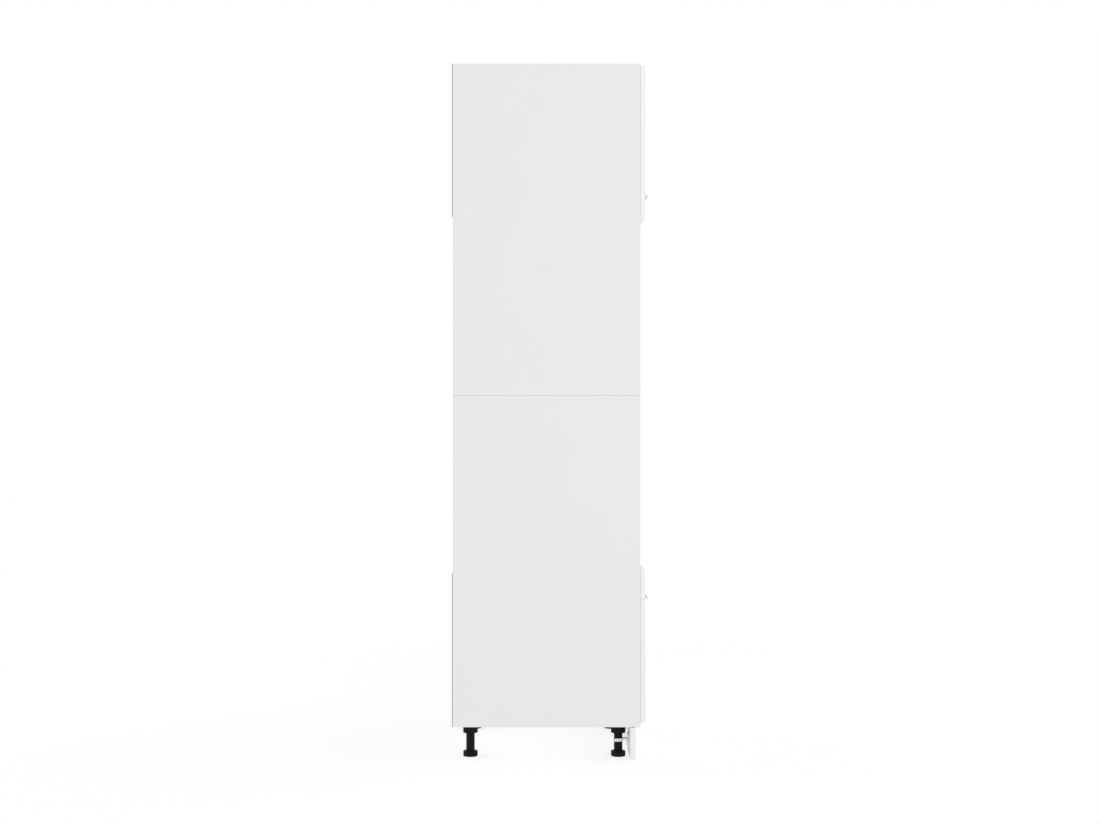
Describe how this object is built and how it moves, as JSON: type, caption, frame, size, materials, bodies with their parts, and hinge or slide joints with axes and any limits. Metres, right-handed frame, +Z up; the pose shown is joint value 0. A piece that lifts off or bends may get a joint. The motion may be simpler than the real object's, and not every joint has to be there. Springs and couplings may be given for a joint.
{
  "type": "oven housing kitchen cabinet",
  "caption": "Tall white kitchen cabinet with an open oven niche and appliance niche between an upper and a lower cupboard, hinged fronts with grip rails, plinth and adjustable legs.",
  "frame": {"origin": "centre of the bounding box in plan, on the floor under the feet", "axes": "+X to the right of someone facing the fronts, fronts face -Y, +Z up"},
  "size_m": [0.6, 0.583, 2.07],
  "materials": {
    "melamine_board": "matt white melamine on chipboard",
    "front_board": "satin white lacquer",
    "back_board": "thin white-faced hardboard",
    "plinth_board": "matt white foil on chipboard",
    "rail_aluminium": "satin anodised extrusion",
    "plated_steel": "nickel-plated pressed steel",
    "cam_zinc": "die-cast zinc",
    "leg_plastic": "moulded black plastic",
    "clip_plastic": "moulded pale grey plastic",
    "bumper": "clear soft pad"
  },
  "bodies": {
    "carcass": {"appliance_shelf": "melamine_board", "bottom_panel": "melamine_board", "cam_bolts": "plated_steel", "cam_locks": "cam_zinc", "hinge_plate_screws": "plated_steel", "leg_front_left": "leg_plastic", "leg_front_right": "leg_plastic", "leg_rear_left": "leg_plastic", "leg_rear_right": "leg_plastic", "lower_back_panel": "back_board", "lower_hinge_arm_pins": "plated_steel", "lower_hinge_high_arm": "plated_steel", "lower_hinge_high_plate": "plated_steel", "lower_hinge_low_arm": "plated_steel", "lower_hinge_low_plate": "plated_steel", "lower_left_side": "melamine_board", "lower_loose_shelf": "melamine_board", "lower_right_side": "melamine_board", "oven_base_panel": "melamine_board", "shelf_pins": "plated_steel", "splice_plates": "plated_steel", "top_panel": "melamine_board", "upper_back_panel": "back_board", "upper_cupboard_base": "melamine_board", "upper_hinge_arm_pins": "plated_steel", "upper_hinge_high_arm": "plated_steel", "upper_hinge_high_plate": "plated_steel", "upper_hinge_low_arm": "plated_steel", "upper_hinge_low_plate": "plated_steel", "upper_left_side": "melamine_board", "upper_loose_shelf": "melamine_board", "upper_right_side": "melamine_board"},
    "upper_links": {"upper_hinge_high_link": "plated_steel", "upper_hinge_low_link": "plated_steel"},
    "upper_front": {"upper_door": "front_board", "upper_door_bumpers": "bumper", "upper_grip_rail": "rail_aluminium", "upper_hinge_cup_pins": "plated_steel", "upper_hinge_cup_screws": "plated_steel", "upper_hinge_high_cup": "plated_steel", "upper_hinge_low_cup": "plated_steel"},
    "lower_links": {"lower_hinge_high_link": "plated_steel", "lower_hinge_low_link": "plated_steel"},
    "lower_front": {"lower_door": "front_board", "lower_door_bumpers": "bumper", "lower_grip_rail": "rail_aluminium", "lower_hinge_cup_pins": "plated_steel", "lower_hinge_cup_screws": "plated_steel", "lower_hinge_high_cup": "plated_steel", "lower_hinge_low_cup": "plated_steel"},
    "plinth": {"plinth": "plinth_board", "plinth_clips": "clip_plastic"},
    "foot_front_left": {"foot_front_left": "leg_plastic"},
    "foot_front_right": {"foot_front_right": "leg_plastic"},
    "foot_rear_left": {"foot_rear_left": "leg_plastic"},
    "foot_rear_right": {"foot_rear_right": "leg_plastic"}
  },
  "joints": [
    {"name": "upper_link_swing", "type": "hinge", "parent": "carcass", "child": "upper_links", "pos_m": [-0.261, -0.2645, 1.8375], "axis": [0, 0, 1], "range_deg": [0, 44]},
    {"name": "upper_door_swing", "type": "hinge", "parent": "upper_links", "child": "upper_front", "pos_m": [-0.2865, -0.2735, 1.8375], "axis": [0, 0, -1], "range_deg": [0, 144]},
    {"name": "lower_link_swing", "type": "hinge", "parent": "carcass", "child": "lower_links", "pos_m": [-0.261, -0.2645, 0.339], "axis": [0, 0, 1], "range_deg": [0, 44]},
    {"name": "lower_door_swing", "type": "hinge", "parent": "lower_links", "child": "lower_front", "pos_m": [-0.2865, -0.2735, 0.339], "axis": [0, 0, -1], "range_deg": [0, 144]},
    {"name": "plinth_pull", "type": "slide", "parent": "carcass", "child": "plinth", "axis": [0, -1, 0], "range_m": [0, 0.1]},
    {"name": "foot_front_left_screw", "type": "slide", "parent": "carcass", "child": "foot_front_left", "axis": [0, 0, -1], "range_m": [0, 0.02]},
    {"name": "foot_front_right_screw", "type": "slide", "parent": "carcass", "child": "foot_front_right", "axis": [0, 0, -1], "range_m": [0, 0.02]},
    {"name": "foot_rear_left_screw", "type": "slide", "parent": "carcass", "child": "foot_rear_left", "axis": [0, 0, -1], "range_m": [0, 0.02]},
    {"name": "foot_rear_right_screw", "type": "slide", "parent": "carcass", "child": "foot_rear_right", "axis": [0, 0, -1], "range_m": [0, 0.02]}
  ],
  "couplings": [
    {"joint": "upper_link_swing", "follows": "upper_door_swing", "ratio": 0.30556},
    {"joint": "lower_link_swing", "follows": "lower_door_swing", "ratio": 0.30556}
  ]
}
